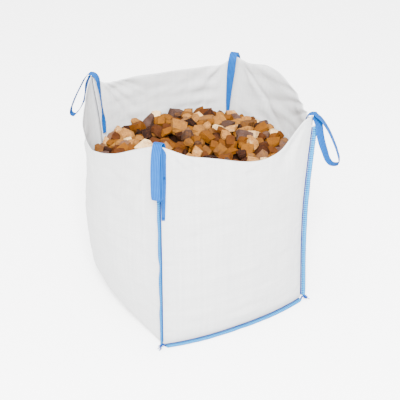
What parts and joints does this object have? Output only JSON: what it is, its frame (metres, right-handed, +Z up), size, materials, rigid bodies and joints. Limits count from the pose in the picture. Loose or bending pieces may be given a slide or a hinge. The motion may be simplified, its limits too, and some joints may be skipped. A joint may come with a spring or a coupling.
{
  "type": "bulk bag",
  "caption": "Filled woven bulk bag with turned-out corner seams, lifting loops folded over its corners and a load of crushed stone",
  "frame": {"origin": "on the floor under the middle of the bag's base", "axes": "+Z up, -Y out of the front panel, +X towards the right wall"},
  "size_m": [1.2225, 1.1687, 1.301],
  "materials": {
    "woven_fabric": "white woven polypropylene tape cloth, matt",
    "blue_webbing": "sky blue woven webbing with lengthwise ribs",
    "pale_thread": "pale blue overlock thread",
    "blue_thread": "dark blue chain stitch thread",
    "crushed_stone": "crushed ochre, tan, rust and grey stone"
  },
  "bodies": {
    "bag": {"back_panel": "woven_fabric", "chain_stitch_back_left": "blue_thread", "chain_stitch_back_right": "blue_thread", "chain_stitch_bottom_back": "blue_thread", "chain_stitch_bottom_front": "blue_thread", "chain_stitch_front_left": "blue_thread", "chain_stitch_front_right": "blue_thread", "front_panel": "woven_fabric", "inner_strap_leg_back_left": "blue_webbing", "inner_strap_leg_back_right": "blue_webbing", "inner_strap_leg_front_left": "blue_webbing", "inner_strap_leg_front_right": "blue_webbing", "lower_leg_stitch_back_left": "blue_thread", "lower_leg_stitch_back_right": "blue_thread", "lower_leg_stitch_front_left": "blue_thread", "lower_leg_stitch_front_right": "blue_thread", "outer_strap_leg_back_left": "blue_webbing", "outer_strap_leg_back_right": "blue_webbing", "outer_strap_leg_front_left": "blue_webbing", "outer_strap_leg_front_right": "blue_webbing", "overlock_thread_back_left": "pale_thread", "overlock_thread_back_right": "pale_thread", "overlock_thread_bottom_back": "pale_thread", "overlock_thread_bottom_front": "pale_thread", "overlock_thread_front_left": "pale_thread", "overlock_thread_front_right": "pale_thread", "stone_load": "crushed_stone", "thread_tail_front_left": "blue_thread", "thread_tail_front_right": "blue_thread", "u_panel": "woven_fabric", "upper_leg_stitch_back_left": "blue_thread", "upper_leg_stitch_back_right": "blue_thread", "upper_leg_stitch_front_left": "blue_thread", "upper_leg_stitch_front_right": "blue_thread"},
    "lifting_loop_front_left": {"loop_front_left": "blue_webbing"},
    "lifting_loop_front_right": {"loop_front_right": "blue_webbing"},
    "lifting_loop_back_right": {"loop_back_right": "blue_webbing"},
    "lifting_loop_back_left": {"loop_back_left": "blue_webbing"}
  },
  "joints": [
    {"name": "fold_front_left", "type": "hinge", "parent": "bag", "child": "lifting_loop_front_left", "pos_m": [-0.46165, -0.46453, 1.246], "axis": [-0.7071, 0.7071, 0], "range_deg": [0, 180]},
    {"name": "fold_front_right", "type": "hinge", "parent": "bag", "child": "lifting_loop_front_right", "pos_m": [0.46427, -0.4585, 1.226], "axis": [-0.7071, -0.7071, 0], "range_deg": [0, 180]},
    {"name": "fold_back_right", "type": "hinge", "parent": "bag", "child": "lifting_loop_back_right", "pos_m": [0.4695, 0.46316, 1.266], "axis": [0.7071, -0.7071, 0], "range_deg": [0, 180]},
    {"name": "fold_back_left", "type": "hinge", "parent": "bag", "child": "lifting_loop_back_left", "pos_m": [-0.47336, 0.45953, 1.296], "axis": [0.7071, 0.7071, 0], "range_deg": [0, 180]}
  ]
}
